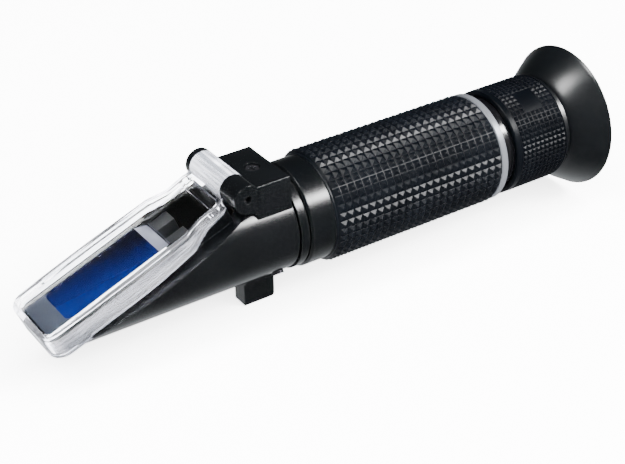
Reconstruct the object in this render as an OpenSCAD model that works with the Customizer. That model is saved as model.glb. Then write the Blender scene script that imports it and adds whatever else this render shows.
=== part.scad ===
// Handheld refractometer with a hinged daylight plate.
// The optical axis runs along X, from the daylight plate at low X to the eyecup at high X.
// The instrument lies on its foot, so Z = 0 is the surface that it rests on.
// A station is a distance along the optical axis, counted from the front of the plate.
// The sloping face has its own frame: s runs up the slope and h stands off the prism face.

/* [Overall] */
// Height of the optical axis over the surface
axis_h = 20.6; // [20.2:0.1:22]

/* [Sloping face] */
// Angle between the prism face and the optical axis
face_angle = 21.5; // [21:0.25:22]
// Depth of the prism face below the axis, at the front edge of the plate
face_drop = 6.86; // [6.7:0.02:7]
// Depth of the ledge round the raised land, below the prism face
ledge_depth = 4.5; // [4.3:0.1:4.8]

/* [Front housing] */
// Wall of the housing round the objective chamber
body_wall = 2.5; // [2.4:0.05:2.7]
// Length of the housing, from the front of the plate to its rear face
housing_len = 66.8; // [66.7:0.05:67]
// Distance up the slope from the front of the plate to the housing's nose
nose_setback = 0.3; // [0.2:0.1:0.8]
// Wall of the threaded spigot behind the housing
spigot_wall = 1.5; // [1.4:0.05:1.6]
// Length of the spigot
spigot_len = 9; // [8.8:0.1:9.2]
// Diameter of the objective chamber
chamber_d = 20; // [19.8:0.1:20.3]
// Station of the front wall of the chamber
chamber_front = 52.6; // [52.2:0.1:53]
// Diameter of the port between the light well and the chamber
port_d = 9.2; // [8.6:0.1:10]
// Width of the light well behind the prism
well_w = 12.2; // [11.6:0.1:12.4]
// Width of the light well at its rear end
well_rear_w = 10.6; // [10:0.1:11]
// Depth of the light well, square to the prism face
well_depth = 14; // [13.6:0.1:14.2]
// Distance up the slope to the rear end of the light well
well_end = 50.4; // [49.8:0.1:50.8]

/* [Prism] */
// Width of the prism
prism_w = 12.3; // [12:0.1:12.5]
// Length of the blue face of the prism
prism_len = 26.2; // [25.8:0.1:26.6]
// Length of the clear bevel behind the face
bevel_len = 3.2; // [2.8:0.1:3.6]
// Fall of the clear bevel
bevel_drop = 1.6; // [1.2:0.1:2]
// Height of the prism's rear face
prism_rear_h = 9; // [8.6:0.1:9.2]
// Width of the sealing compound beside the prism
seal_w = 0.7; // [0.6:0.05:0.75]
// Depth of the sealing compound
seal_t = 0.8; // [0.6:0.1:1.1]
// Length of the grey strip of compound in front of the prism
strip_len = 5.6; // [5:0.1:6]
// Radius of the blue face's front corners
face_corner_r = 1.8; // [1.2:0.1:2.4]
// Thickness of the blue backing under the prism
backing_t = 0.4; // [0.3:0.05:0.6]
// Length of the two lugs that hold the prism's bevel
lug_len = 5.6; // [5:0.1:6]
// Width of each lug
lug_w = 4; // [3.6:0.1:4.2]
// Height of each lug
lug_h = 4.2; // [3.8:0.1:4.4]

/* [Daylight plate] */
// Width of the plate
plate_w = 19.8; // [19.6:0.1:20.2]
// Width of the plate beside the hinge
waist_w = 16.8; // [16.6:0.1:17.2]
// Distance up the slope to where the plate starts to narrow
waist_start = 40.5; // [39.5:0.5:41.5]
// Length over which it narrows
waist_len = 5; // [4:0.5:6]
// Radius of the plate's front corners
plate_nose_r = 4; // [3.5:0.1:4.5]
// Radius of the plate's rear corners
plate_rear_r = 2.4; // [2:0.1:3]
// Thickness of the plate's side walls
plate_wall = 1.2; // [1:0.05:1.3]
// Height of the plate's rim over the prism face
rim_h = 3.4; // [3.2:0.1:3.6]
// Height of the clear sheet's underside over the prism face
sheet_h = 0.9; // [0.8:0.05:1.1]
// Thickness of the clear sheet
sheet_t = 1.3; // [1.1:0.1:1.5]
// Width of the pad that presses on the prism
pad_w = 13.8; // [13.4:0.1:14]
// Width of the cross ribs beside the hinge
rib_w = 0.9; // [0.7:0.1:1.1]
// Height of the small bead round the foot of the side walls
bead_h = 0.8; // [0.6:0.1:1]
// How far the link stands in from each end of the barrel
link_inset = 0.4; // [0.3:0.1:1]
// How far the bead stands proud
bead_t = 0.35; // [0.25:0.05:0.45]

/* [Hinge] */
// Station of the hinge pin
hinge_x = 53.1; // [52.9:0.1:53.3]
// Height of the hinge pin over the optical axis
hinge_z = 15.9; // [15.7:0.1:16.1]
// Radius of the hinge ears and of the plate's barrel
ear_r = 3.6; // [3.4:0.05:3.7]
// Distance from the middle to the outer face of the thick ear
thick_ear_y = 12.1; // [11.8:0.1:12.3]
// Thickness of the thick ear
thick_ear = 6.8; // [6.4:0.1:7.2]
// Distance from the middle to the outer face of the thin ear
thin_ear_y = 10.5; // [10.2:0.1:10.8]
// Thickness of the thin ear
thin_ear = 1.8; // [1.6:0.1:2.2]
// Diameter of the hinge pin
pin_d = 2; // [1.8:0.1:2.2]
// Depth of the hinge pin's ends in the ears
pin_recess = 0.9; // [0.6:0.1:1.2]

/* [Hinge block] */
// Width of the block
block_w = 19.4; // [19:0.1:19.8]
// Width of the block's top face
block_top_w = 18; // [17.4:0.1:18.4]
// Height of the block's top face over the optical axis
block_top = 16.3; // [16.1:0.1:16.5]
// Height of the bevel along the block's sides
block_bevel = 2.2; // [1.8:0.1:2.6]
// Station of the block's front face
block_front = 57.05; // [57:0.05:57.2]
// Station of the block's rear face
block_rear = 66.6; // [66:0.1:67.2]

/* [Foot] */
// Width of the foot
foot_w = 4.6; // [4.2:0.1:5]
// Length of the foot
foot_len = 8.6; // [8.2:0.1:9]
// Station of the foot's front face
foot_x = 56.7; // [56.2:0.1:57]

/* [Calibration screw] */
// Station of the screw
calib_x = 61.8; // [61.6:0.1:62]
// Diameter of the screw's thread
calib_d = 3; // [2.8:0.1:3.2]
// Diameter of the screw's head
calib_head_d = 3.4; // [3.3:0.05:3.6]
// Height of the screw's head
calib_head_h = 1.3; // [1.1:0.1:1.4]
// Travel of the screw each way
calib_travel = 0.3; // [0.25:0.05:0.35]

/* [Objective] */
// Wall of the objective cell round its lenses
cell_wall = 1.4; // [1.3:0.05:1.6]
// Room between the objective cell and the chamber, each side
cell_room = 2.1; // [2:0.05:2.2]
// Station of the front of the cell
cell_front = 54.8; // [54.5:0.1:55]
// Length of the cell
cell_len = 5.4; // [5.2:0.1:5.6]
// Thickness of the crown lens at its middle
crown_t = 2.4; // [2.2:0.1:2.5]
// Thickness of the flint lens at its edge
flint_t = 1.7; // [1.5:0.1:1.8]
// Width of the two-metal strip
strip_w = 5; // [4.6:0.1:5.2]
// Thickness of the two-metal strip
strip_t = 0.6; // [0.5:0.05:0.65]
// Station of the clamp that holds the strip
clamp_x = 72.5; // [72.2:0.1:72.8]
// How far the aperture stop covers the rim of the lenses
stop_lip = 1.3; // [1:0.1:1.6]
// Thickness of the aperture stop
stop_t = 2.4; // [2.2:0.1:2.6]
// Station of the aperture stop and of its two screws
lock_screw_x = 63.3; // [63.1:0.1:63.5]
// Diameter of each lock screw's thread
lock_screw_d = 1.6; // [1.4:0.1:1.8]
// Diameter of each lock screw's head
lock_head_d = 2.8; // [2.6:0.1:3]

/* [Main tube] */
// Width of the space that holds the sealing ring
seal_gap = 0.5; // [0.45:0.05:0.6]
// Width of the lock ring
lock_w = 2.7; // [2.5:0.1:2.9]
// Width of the lock ring's groove
lock_groove_w = 0.6; // [0.5:0.05:0.8]
// Depth of the lock ring's groove
lock_groove_h = 0.8; // [0.6:0.05:0.9]
// Height of the lock ring over the spigot
lock_wall = 1.4; // [1.2:0.05:1.6]
// Length of the collar
collar_len = 6.8; // [6.4:0.1:7.2]
// Wall of the collar over the spigot
collar_wall = 1.9; // [1.8:0.05:2.1]
// Wall of the tube over the spigot's thread
thread_wall = 0.7; // [0.65:0.05:0.8]
// Wall of the tube under the grip
tube_wall = 1.2; // [1.1:0.05:1.3]
// Station of the first baffle in the tube
baffle_x = 86; // [84:0.5:88]
// Distance between the two baffles
baffle_pitch = 17; // [15:0.5:19]
// Thickness of each baffle
baffle_t = 1.2; // [1:0.1:1.4]
// Height of each baffle
baffle_h = 4.45; // [3.6:0.05:4.6]

/* [Grip] */
// Length of the grip
grip_len = 51.1; // [50:0.1:52]
// Thickness of the grip under its pyramids
grip_base = 1.4; // [1.3:0.05:1.5]
// Height of the grip's pyramids
grip_tooth = 1.05; // [0.8:0.05:1.2]
// Number of rows of pyramids along the grip
grip_rows = 23; // [20:1:26]
// Number of pyramids round the grip
grip_around = 42; // [36:1:48]
// Width of the smooth lip at the front of the grip
grip_lip = 0.8; // [0.6:0.1:1.2]

/* [Trim ring] */
// Width of the bright ring
trim_w = 2; // [1.8:0.1:2.4]
// Height of the bright ring over the tube
trim_h = 2.2; // [2:0.05:2.3]

/* [Eyepiece mount] */
// Width of the gap that shows the neck
neck_gap = 3.3; // [3:0.1:3.4]
// Diameter of the neck
neck_d = 25.2; // [25:0.1:25.4]
// Length of the neck
neck_len = 4.6; // [4.4:0.1:4.7]
// Length of the mount's thread inside the tube
mount_len = 11.3; // [11:0.1:11.8]
// Wall of the mount's thread
mount_wall = 1.4; // [1.3:0.05:1.5]
// Length of the cell that holds the reticle
reticle_cell_len = 6.6; // [6.4:0.1:7]
// Diameter of the reticle
reticle_d = 16; // [15.6:0.1:16.2]

/* [Focus ring] */
// Length of the focus ring
focus_len = 16.8; // [16.4:0.1:17.2]
// Diameter at the bottom of the focus ring's knurling
focus_root_d = 27.4; // [27.2:0.1:27.6]
// Height of the focus ring's pyramids
focus_tooth = 0.5; // [0.4:0.05:0.6]
// Number of rows of pyramids along the focus ring
focus_rows = 10; // [8:1:11]
// Number of pyramids round the focus ring
focus_around = 64; // [54:1:68]
// Width of the smooth rim at the front of the focus ring
focus_rim = 2; // [1.8:0.1:2.3]
// Width of the smooth rim at the rear of the focus ring
focus_rear_rim = 0.3; // [0.2:0.1:0.6]
// Number of pyramids left out round the smooth pad
pad_around = 5; // [4:1:7]
// Number of rows left out along the smooth pad
pad_rows = 4; // [3:1:5]
// Angle of the smooth pad's middle, counted from +Y over the top
pad_angle = 116; // [90:2:130]
// Travel of the eyepiece each way
focus_travel = 1.25; // [1:0.05:1.3]

/* [Eyepiece] */
// Wall of the eyepiece barrel round its lenses
barrel_wall = 2.1; // [2:0.05:2.3]
// Length of the spacer between the lenses
spacer_len = 11.7; // [11.4:0.1:12]
// Diameter of the rear of the eyepiece barrel
barrel_rear_d = 23.2; // [23:0.1:23.4]
// Length of the eyecup behind the focus ring
eyecup_len = 10.8; // [10.4:0.1:11.6]
// Diameter of the eyecup's rim
eyecup_d = 38.8; // [38.4:0.1:39.6]
// Diameter of the eyecup's neck
eyecup_neck_d = 26.2; // [26:0.1:26.6]
// Thickness of the eyecup's wall
eyecup_wall = 1.4; // [1.2:0.1:1.8]

/* [Clearances] */
// Radial running clearance of turning pieces
running = 0.05; // [0.03:0.01:0.08]
// Clearance between the plate's walls and the land inside them
skirt_gap = 0.25; // [0.2:0.05:0.35]
// How much earlier the land narrows than the plate, so that the plate lifts clear
waist_lead = 1.8; // [1.7:0.1:2.4]
// Gap between the plate's pad and the prism
film_gap = 0.1; // [0.08:0.02:0.16]
// Gap between the ear faces and the plate's barrel
barrel_gap = 0.15; // [0.1:0.05:0.2]
// Radial clearance of pieces screwed or glued together
seat = 0.05; // [0.03:0.01:0.08]

/* [Hidden] */

$fn = 96;
body_d = chamber_d + 2 * body_wall;
spigot_d = chamber_d + 2 * spigot_wall;
cell_d = chamber_d - 2 * cell_room;
objective_d = cell_d - 2 * cell_wall;
stop_d = objective_d - 2 * stop_lip;
lock_d = spigot_d + 2 * lock_wall;
collar_d = spigot_d + 2 * collar_wall;
tube_d = spigot_d + 2 * thread_wall;
tube_bore = tube_d - 2 * tube_wall;
grip_root_d = tube_d + 2 * grip_base;
trim_d = tube_d + 2 * trim_h;
mount_bore = tube_bore - 2 * mount_wall;
eye_lens_d = mount_bore - 2 * barrel_wall;
sine = sin(face_angle);
cosine = cos(face_angle);

// Stations along the optical axis
face_setback = rim_h * sine;
lock_x = housing_len + seal_gap;
collar_x = lock_x + lock_w;
grip_x = collar_x + collar_len;
trim_x = grip_x + grip_len;
neck_x = trim_x + trim_w;
focus_x = neck_x + neck_gap;
eyecup_x = focus_x + focus_len;
total_len = eyecup_x + eyecup_len;

// Distances up the slope
hinge_s = (hinge_x - face_setback) * cosine + (hinge_z + face_drop) * sine;
hinge_rise = (hinge_z + face_drop) * cosine - (hinge_x - face_setback) * sine;
plate_end = hinge_s - ear_r - skirt_gap;
compound_start = plate_wall + skirt_gap + 0.5;
glass_start = compound_start + 0.4;
face_start = compound_start + strip_len;
face_end = face_start + prism_len;
prism_end = face_end + bevel_len;
land_inset = plate_wall + skirt_gap;
slot_low = -thick_ear_y + thick_ear;
slot_high = thin_ear_y - thin_ear;

// Eyepiece stations at rest
mount_x = neck_x - mount_len;
barrel_x = mount_x + focus_travel + 1.25;
field_x = barrel_x + 3;
field_t = 3.2;
spacer_x = field_x + field_t + seat;
eye_x = spacer_x + spacer_len + seat;
eye_t = 3.4;
retainer_x = eye_x + eye_t + seat;
retainer_t = 1.8;
barrel_step = focus_x + 4.2;
barrel_end = eyecup_x + 1.2;
stop_x = neck_x + 1.1;
focus_groove_x = barrel_x + 0.9;
cup_bore_d = barrel_rear_d + 2 * seat;

// Objective chamber
strip_z = cell_d / 2 + 0.2;
strip_front = cell_front + 0.4;
pad_t = 1.1;
pad_z = strip_z + strip_t + seat;
screw_tip_z = pad_z + pad_t + 0.02;
head_z = block_top - calib_head_h - 0.4;
cement_gap = 0.02;
cement_r = 16;
crown_r = 24;
flint_x = cell_front + 0.8 + cement_gap;
cement_x = flint_x + flint_t - sag(cement_r, objective_d / 2) + cement_gap;
crown_end = cement_x + crown_t;
lock_screw_angle = 37;

// Frames
module axis_frame() translate([-total_len / 2, 0, axis_h]) children();

module slope_frame()
    axis_frame() translate([face_setback, 0, -face_drop]) rotate([0, -face_angle, 0]) children();

// Solids of revolution on the optical axis, from a list of [station, radius]
module turned(profile)
    axis_frame() rotate([0, 90, 0]) rotate_extrude()
        polygon([for (p = profile) [p[1], p[0]]]);

module ring(from, to, outer_r, inner_r)
    turned([[from, inner_r], [from, outer_r], [to, outer_r], [to, inner_r]]);

module axial_hole(from, to, r)
    axis_frame() translate([from, 0, 0]) rotate([0, 90, 0]) cylinder(h = to - from, r = r);

// A torus on the optical axis
module torus(station, major_r, minor_r)
    axis_frame() translate([station, 0, 0]) rotate([0, 90, 0]) rotate_extrude()
        translate([major_r, 0]) circle(r = minor_r, $fn = 32);

// Depth of a spherical cap, and the profile of a lens face from the axis outwards
function sag(r, half) = r - sqrt(r * r - half * half);

function lens_face(vertex, r, half) =
    [for (i = [0:6]) let (y = half * i / 6) [vertex + sign(r) * sag(abs(r), y), y]];

// Points of an arc, and a plan outline mirrored about the middle line
function arc(x, y, r, from, to, steps) =
    [for (i = [0:steps]) let (a = from + (to - from) * i / steps) [x + r * cos(a), y + r * sin(a)]];

function both_sides(half) =
    concat([for (p = half) [p[0], -p[1]]], [for (i = [len(half) - 1:-1:0]) half[i]]);

// A plan outline raised between two heights, and a side outline widened about the middle
module plan(points, low, high) translate([0, 0, low]) linear_extrude(high - low) polygon(points);

module side(points, from, to)
    translate([0, to, 0]) rotate([90, 0, 0]) linear_extrude(to - from) polygon(points);

module across(points, w) side(points, -w / 2, w / 2);

module cross_pin(r, from, to)
    axis_frame() translate([hinge_x, from, hinge_z]) rotate([-90, 0, 0]) cylinder(h = to - from, r = r);

// Prism outlines in (s, h)
function rear_foot(extra) =
    [prism_end - (prism_rear_h + extra) * sine, -bevel_drop - (prism_rear_h + extra) * cosine];

function under_prism(depth) =
    [rear_foot(depth), [12, -4.2 - depth], [glass_start, -2.6 - depth]];

// Half outlines of the plate and of the land that it covers
function nose_half(inset) =
    arc(plate_nose_r, plate_w / 2 - plate_nose_r, plate_nose_r - inset, 180, 90, 8);

function waist_half(inset, lead = 0) =
    [[waist_start - lead, plate_w / 2 - inset], [waist_start + waist_len - lead, waist_w / 2 - inset]];

function plate_half(inset) = concat(
    nose_half(inset), waist_half(inset),
    arc(plate_end - plate_rear_r, waist_w / 2 - plate_rear_r, plate_rear_r - inset, 90, 0, 6)
);

function skirt_half() = concat(
    nose_half(plate_wall), waist_half(plate_wall), [[plate_end + 3, waist_w / 2 - plate_wall]]
);

function land_half() = concat(
    nose_half(land_inset), waist_half(land_inset, waist_lead),
    [[hinge_s - ear_r - 0.4, waist_w / 2 - land_inset]]
);

module knurled_ring(
    from, length, root_r, bore_r, tooth, rows, around, blank_rows = 0, blank_around = 0, blank_angle = 0
) {
    pitch = length / rows;
    step = 360 / around;
    blank_row = ceil((rows - blank_rows) / 2);
    blank_column = round(blank_angle / step - blank_around / 2);
    function within(k, first, count) = k >= first && k < first + count;
    function blank(i, j) = within(i, blank_row, blank_rows) && within(j, blank_column, blank_around);
    function at(x, r, a) = [from + x, r * cos(a), r * sin(a)];
    corners = [for (i = [0:rows]) for (j = [0:around - 1]) at(i * pitch, root_r, j * step)];
    tips = [
        for (i = [0:rows - 1]) for (j = [0:around - 1])
            at((i + 0.5) * pitch, root_r + (blank(i, j) ? 0.05 : tooth), (j + 0.5) * step)
    ];
    bore = [for (i = [0, 1]) for (j = [0:around - 1]) at(i * length, bore_r, j * step)];
    first_tip = len(corners);
    first_bore = first_tip + len(tips);
    function next(j) = (j + 1) % around;
    faces = concat(
        [
            for (i = [0:rows - 1]) for (j = [0:around - 1]) for (side = [0:3])
                let (
                    a = i * around + j, b = i * around + next(j),
                    c = (i + 1) * around + next(j), d = (i + 1) * around + j,
                    loop = [a, b, c, d, a]
                )
                [loop[side + 1], loop[side], first_tip + i * around + j]
        ],
        [
            for (j = [0:around - 1]) for (k = [0, 1])
                let (
                    a = first_bore + j, b = first_bore + next(j),
                    c = first_bore + around + next(j), d = first_bore + around + j
                )
                k == 0 ? [a, b, c] : [a, c, d]
        ],
        [
            for (j = [0:around - 1]) for (k = [0, 1])
                let (a = j, b = next(j), c = first_bore + next(j), d = first_bore + j)
                k == 0 ? [a, b, c] : [a, c, d]
        ],
        [
            for (j = [0:around - 1]) for (k = [0, 1])
                let (
                    a = rows * around + j, b = rows * around + next(j),
                    c = first_bore + around + next(j), d = first_bore + around + j
                )
                k == 0 ? [a, c, b] : [a, d, c]
        ]
    );
    axis_frame() polyhedron(points = concat(corners, tips, bore), faces = faces, convexity = 10);
}

// Front housing: an oblique casting with the land, hinge block, ears and foot
module housing_blank() {
    difference() {
        axial_hole(0, housing_len, body_d / 2);
        slope_frame() translate([-30, -30, -ledge_depth]) cube([30 + hinge_s - 1, 60, 60]);
        slope_frame() translate([-30, -30, -40]) cube([30 + nose_setback, 60, 80]);
    }
    intersection() {
        slope_frame() plan(both_sides(land_half()), -ledge_depth - 0.4, 0);
        axial_hole(0, housing_len, body_d / 2 + 6);
    }
    axial_hole(housing_len - 0.1, housing_len + spigot_len, spigot_d / 2);
}

module hinge_block() {
    section = [
        [-block_w / 2, 5], [-block_w / 2, block_top - block_bevel], [-block_top_w / 2, block_top],
        [block_top_w / 2, block_top], [block_w / 2, block_top - block_bevel], [block_w / 2, 5]
    ];
    axis_frame() translate([block_front, 0, 0]) rotate([90, 0, 90])
        linear_extrude(block_rear - block_front) polygon(section);
}

module ears() {
    shoulder_x = block_front + 2.2;
    under = hinge_z - ear_r - 1.9;
    function outline(y) = let (step = y - block_w / 2) [
        [hinge_x - ear_r - 1, y], [hinge_x + 2.3, y], [hinge_x + 3.4, y - 0.45 * step],
        [block_front + 0.65, y - 0.8 * step], [shoulder_x, block_w / 2 - 0.2]
    ];
    thin_side = outline(thin_ear_y);
    top_view = concat(
        [for (p = outline(thick_ear_y)) [p[0], -p[1]]],
        [for (i = [len(thin_side) - 1:-1:0]) thin_side[i]]
    );
    profile = [
        [hinge_x, hinge_z - ear_r], [shoulder_x, under], [shoulder_x, block_top - block_bevel],
        [block_front, block_top], [hinge_x + 0.8 * ear_r, hinge_z + 0.6 * ear_r]
    ];
    shoulder = [
        [block_front + 0.1, hinge_z - ear_r], [shoulder_x, under], [shoulder_x, block_top - block_bevel],
        [block_front + 0.1, block_top - 0.1]
    ];
    intersection() {
        union() {
            for (span = [[-thick_ear_y, slot_low], [slot_high, thin_ear_y]]) {
                cross_pin(ear_r, span[0], span[1]);
                axis_frame() side(profile, span[0], span[1]);
            }
            axis_frame() side(shoulder, block_w / 2 - 1.5, thin_ear_y);
        }
        axis_frame() plan(top_view, 5, 25);
    }
}

module foot() {
    half = [
        [-axis_h, foot_w / 2], [-body_d / 2 - 2.1, foot_w / 2],
        [-body_d / 2 - 0.5, foot_w / 2 + 1.4], [-chamber_d / 2 - 1, foot_w / 2 + 1.8]
    ];
    axis_frame() difference() {
        translate([foot_x, 0, 0]) rotate([90, 0, 90])
            linear_extrude(foot_len) polygon([for (p = both_sides(half)) [p[1], p[0]]]);
        translate([foot_x + foot_len - 0.8, 0, -axis_h + 0.8]) rotate([90, 0, 0]) difference() {
            translate([0, -2, -foot_w]) cube([2, 2, 2 * foot_w]);
            cylinder(h = 3 * foot_w, r = 0.8, center = true);
        }
    }
}

module prism_pocket() {
    clear = 2 * seat;
    slope_frame() {
        translate([compound_start - seat, -prism_w / 2 - seal_w - seat, -seal_t])
            cube([face_end - compound_start + seat, prism_w + 2 * seal_w + 2 * seat, seal_t + 5]);
        across(
            concat(
                [[glass_start - clear, 5], [prism_end + clear, 5], [prism_end + clear, -bevel_drop]],
                [for (p = under_prism(backing_t + clear)) [p[0] - (p[0] == glass_start ? clear : 0), p[1]]]
            ),
            prism_w + 2 * clear
        );
    }
}

module light_well() {
    rear_half = [
        [rear_foot(0)[0], well_w / 2], [prism_end + lug_len, well_w / 2], [well_end, well_rear_w / 2]
    ];
    floor_line = [
        [rear_foot(0)[0], 5], [rear_foot(0)[0], -well_depth], [prism_end + lug_len + 1.5, -well_depth],
        [well_end, -well_depth + 5], [well_end, 5]
    ];
    slope_frame() intersection() {
        plan(both_sides(rear_half), -well_depth, 5);
        across(floor_line, well_w + 1);
    }
    axial_hole(40, chamber_front + 0.1, port_d / 2);
}

module radial_screws(r, low, high)
    for (side = [-1, 1])
        axis_frame() translate([lock_screw_x, 0, 0]) rotate([180 + side * lock_screw_angle, 0, 0])
            translate([0, 0, low]) cylinder(h = high - low, r = r, $fn = 32);

module calibration_hole(r, low, high)
    axis_frame() translate([calib_x, 0, low]) cylinder(h = high - low, r = r);

module clamp_hole(r, low, high)
    axis_frame() translate([clamp_x + 1.25, 0, low]) cylinder(h = high - low, r = r, $fn = 32);

module prism_housing() color([0.07, 0.07, 0.08]) difference() {
    union() {
        housing_blank();
        hinge_block();
        ears();
        foot();
    }
    prism_pocket();
    light_well();
    axial_hole(chamber_front, housing_len + spigot_len + 1, chamber_d / 2);
    cross_pin(ear_r + 2 * barrel_gap, slot_low, slot_high);
    cross_pin(pin_d / 2 + 0.02, -thick_ear_y - 1, thin_ear_y + 1);
    calibration_hole(calib_d / 2 + running, 0, block_top + 1);
    calibration_hole(calib_head_d / 2 + 0.3, head_z - calib_travel - 0.1, block_top + 1);
    radial_screws(lock_screw_d / 2 + seat, chamber_d / 2 - 1, body_d / 2 + 1);
    radial_screws(lock_head_d / 2 + seat, body_d / 2 - 0.2, body_d / 2 + 1);
    clamp_hole(0.8 + 0.02, 0, spigot_d / 2 - 0.4);
}

// Measuring prism and what holds it
module prism() color([0.1, 0.2, 0.6, 0.8]) slope_frame() difference() {
    across(
        concat(
            [
                [glass_start, -seal_t - seat], [face_start, -seal_t - seat], [face_start, 0],
                [face_end, 0], [prism_end, -bevel_drop]
            ],
            under_prism(0)
        ),
        prism_w
    );
    for (y = [-1, 1])
        translate([face_start + face_corner_r, y * (prism_w / 2 - face_corner_r), -seal_t - seat])
            linear_extrude(seal_t + 1) difference() {
                translate([-face_corner_r - 1, y > 0 ? 0 : -face_corner_r - 1])
                    square(face_corner_r + 1);
                circle(r = face_corner_r);
            }
}

module prism_backing() {
    top = [for (p = under_prism(0.02)) p];
    bottom = under_prism(backing_t);
    color([0.08, 0.17, 0.6]) slope_frame()
        across(concat(top, [bottom[2], bottom[1], bottom[0]]), prism_w);
}

module prism_seal() color([0.5, 0.53, 0.58]) slope_frame() difference() {
    w = prism_w + 2 * seal_w;
    translate([compound_start, -w / 2, -seal_t]) cube([face_end - compound_start, w, seal_t]);
    translate([face_start, 0, 0]) linear_extrude(4 * seal_t, center = true) union() {
        opening_w = prism_w + 2 * seat;
        translate([0, -opening_w / 2 + face_corner_r])
            square([prism_len + 1, opening_w - 2 * face_corner_r]);
        translate([face_corner_r, -opening_w / 2]) square([prism_len + 1, opening_w]);
        for (y = [-1, 1])
            translate([face_corner_r, y * (opening_w / 2 - face_corner_r)]) circle(r = face_corner_r);
    }
}

module prism_lugs() color([0.32, 0.33, 0.34]) slope_frame()
    for (y = [-1, 1])
        translate([prism_end + 0.3, y * (well_w / 2 - lug_w / 2) - lug_w / 2, -1.2 - lug_h])
            cube([lug_len - 0.3, lug_w, lug_h]);

module hinge_pin() color([0.7, 0.7, 0.72])
    cross_pin(pin_d / 2, -thick_ear_y + pin_recess, thin_ear_y - pin_recess);

// Clear plate that spreads the sample and lets the daylight in
module plate_shell() {
    plan(both_sides(plate_half(0)), -ledge_depth + 0.7, rim_h);
    translate([0, 0, -ledge_depth + 0.7])
        linear_extrude(bead_h) polygon([
            for (p = both_sides(plate_half(0))) [p[0], p[1] * (1 + bead_t / (plate_w / 2))]
        ]);
}

module daylight_plate() color([0.85, 0.9, 0.92, 0.5]) difference() {
    union() {
        slope_frame() {
            difference() {
                plate_shell();
                plan(both_sides(skirt_half()), -ledge_depth - 1, sheet_h);
                plan(both_sides(plate_half(plate_wall)), sheet_h + sheet_t, rim_h + 1);
            }
            translate([land_inset, -pad_w / 2, film_gap]) cube([prism_end - land_inset, pad_w, sheet_h]);
            translate([plate_end - 3.8, -waist_w / 2 + 1, sheet_h + 0.1])
                cube([rib_w, waist_w - 2, rim_h - sheet_h - 0.1]);
            translate([plate_end - 1, slot_low + barrel_gap + link_inset, sheet_h])
                cube([
                    hinge_s - plate_end + 1,
                    slot_high - slot_low - 2 * (barrel_gap + link_inset),
                    rim_h - sheet_h
                ]);
        }
        cross_pin(ear_r, slot_low + barrel_gap, slot_high - barrel_gap);
    }
    cross_pin(pin_d / 2 + running, -thick_ear_y, thin_ear_y);
}

// Zero adjustment and the objective that it tilts
module calibration_screw() color([0.2, 0.2, 0.21]) difference() {
    union() {
        calibration_hole(calib_head_d / 2, head_z, head_z + calib_head_h);
        calibration_hole(calib_d / 2, screw_tip_z, head_z + 0.1);
    }
    axis_frame() translate([calib_x, 0, head_z + calib_head_h])
        for (a = [0, 90]) rotate([0, 0, a]) cube([2.3, 0.55, 1.6], center = true);
}

module screw_pad() color([0.9, 0.88, 0.8]) calibration_hole(calib_d / 2 - 0.2, pad_z, pad_z + pad_t);

module objective_cell() color([0.1, 0.1, 0.11]) {
    lip = 0.8;
    turned([
        [cell_front, objective_d / 2 - 0.7], [cell_front, cell_d / 2],
        [cell_front + cell_len, cell_d / 2], [cell_front + cell_len, objective_d / 2 + seat],
        [cell_front + lip, objective_d / 2 + seat], [cell_front + lip, objective_d / 2 - 0.7]
    ]);
    axis_frame() difference() {
        translate([strip_front, -strip_w / 2, objective_d / 2 + 0.4])
            cube([cell_len - 0.8, strip_w, strip_z - objective_d / 2 - 0.42]);
        rotate([0, 90, 0]) cylinder(h = 200, r = objective_d / 2 + 0.3);
    }
}

module flint_lens() color([0.8, 0.9, 0.92, 0.5]) turned(concat(
    lens_face(cement_x - cement_gap, cement_r, objective_d / 2),
    [[flint_x, objective_d / 2], [flint_x, 0]]
));

module crown_lens() color([0.8, 0.9, 0.92, 0.5]) turned(concat(
    lens_face(cement_x, cement_r, objective_d / 2),
    [for (i = [6:-1:0]) lens_face(crown_end, -crown_r, objective_d / 2)[i]]
));

module objective_retainer() color([0.12, 0.12, 0.13]) {
    bore_r = objective_d / 2 - 1;
    ring(crown_end - sag(crown_r, bore_r) + cement_gap, cell_front + cell_len, objective_d / 2, bore_r);
}

module bimetal_strip() color([0.72, 0.6, 0.35]) axis_frame()
    translate([strip_front, -strip_w / 2, strip_z])
        cube([clamp_x - 0.05 - strip_front, strip_w, strip_t]);

module strip_clamp() color([0.45, 0.45, 0.47]) difference() {
    axis_frame() intersection() {
        translate([clamp_x, -3.2, strip_z - 0.9]) cube([2.5, 6.4, 5]);
        rotate([0, 90, 0]) cylinder(h = 200, r = chamber_d / 2);
    }
    clamp_hole(0.8 + 0.02, 0, 30);
}

module strip_clamp_screw() color([0.6, 0.6, 0.62]) {
    clamp_hole(1.5, strip_z - 2, strip_z - 0.9);
    clamp_hole(0.8, strip_z - 1, spigot_d / 2 - 0.5);
}

module aperture_stop() color([0.1, 0.1, 0.11]) difference() {
    ring(lock_screw_x - stop_t / 2, lock_screw_x + stop_t / 2, chamber_d / 2 - seat, stop_d / 2);
    axis_frame() translate([lock_screw_x - stop_t, -20, strip_z - 0.8]) cube([2 * stop_t, 40, 10]);
    radial_screws(lock_screw_d / 2 + seat, chamber_d / 2 - 1.2, chamber_d / 2 + 1);
}

module lock_screws() color([0.3, 0.3, 0.31]) {
    radial_screws(lock_screw_d / 2, chamber_d / 2 - 1, body_d / 2);
    radial_screws(lock_head_d / 2, body_d / 2 - 0.18, body_d / 2 + 0.75);
}

// Body tube
module body_o_ring() color([0.03, 0.03, 0.03])
    torus(housing_len + seal_gap / 2, spigot_d / 2 + seal_gap / 2, seal_gap / 2 - 0.02);

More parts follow.
